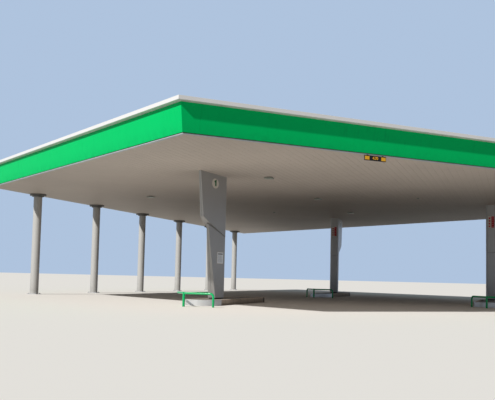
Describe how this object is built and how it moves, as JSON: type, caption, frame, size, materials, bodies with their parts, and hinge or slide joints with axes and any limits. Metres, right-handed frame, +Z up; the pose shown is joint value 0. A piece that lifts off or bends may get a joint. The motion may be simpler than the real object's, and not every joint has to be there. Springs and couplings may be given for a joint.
{
  "type": "filling station canopy, 1:2 scale model",
  "caption": "Flat trapezoid forecourt roof with a raked green fascia and white coping, on wedge-clad columns on kerbed islands and a row of round rear columns, at half scale.",
  "frame": {"origin": "on the ground, under the middle of the canopy's overall box", "axes": "+X along the pump islands, away from the near corner; +Y towards the rear edge; +Z up"},
  "size_m": [27.7186, 17.8882, 3],
  "materials": {
    "fascia_green": "satin coil-coated aluminium",
    "coping_white": "satin white paint",
    "trim_grey": "satin light grey paint",
    "soffit_plank": "matt warm grey planks",
    "roof_sheet": "weathered light grey sheet",
    "dark_steel": "dark grey primer",
    "cladding_silver": "satin silver composite panel",
    "plate_white": "gloss white enamel",
    "column_paint": "satin pale grey paint",
    "galvanised": "galvanised steel",
    "light_diffuser": "grey diffuser, unlit",
    "sign_black": "satin black paint",
    "concrete": "worn concrete",
    "guard_green": "gloss green paint"
  },
  "bodies": {
    "root": {"roof_deck": "roof_sheet", "soffit": "soffit_plank", "main_beams": "dark_steel", "joists": "dark_steel", "coping_left": "coping_white", "coping_rear": "coping_white", "coping_far": "coping_white", "coping_right": "coping_white", "fascia_left": "fascia_green", "fascia_rear": "fascia_green", "fascia_far": "fascia_green", "fascia_right": "fascia_green", "trim_left": "trim_grey", "trim_rear": "trim_grey", "trim_far": "trim_grey", "trim_right": "trim_grey", "column_post_1": "dark_steel", "column_post_2": "dark_steel", "column_post_3": "dark_steel", "upper_cladding_1": "cladding_silver", "upper_cladding_2": "cladding_silver", "upper_cladding_3": "cladding_silver", "lower_cladding_1": "cladding_silver", "lower_cladding_2": "cladding_silver", "lower_cladding_3": "cladding_silver", "number_discs": "plate_white", "notice_plates": "plate_white", "rear_column_1": "column_paint", "rear_column_2": "column_paint", "rear_column_3": "column_paint", "rear_column_4": "column_paint", "rear_column_5": "column_paint", "rear_column_6": "column_paint", "rear_collars": "column_paint", "rear_base_plates": "galvanised", "downlights": "light_diffuser", "clearance_sign": "sign_black", "island_1": "concrete", "island_2": "concrete", "island_3": "concrete", "island_nose_plates": "galvanised", "guard_hoop_1": "guard_green", "guard_hoop_2": "guard_green", "guard_hoop_3": "guard_green"}
  },
  "joints": []
}
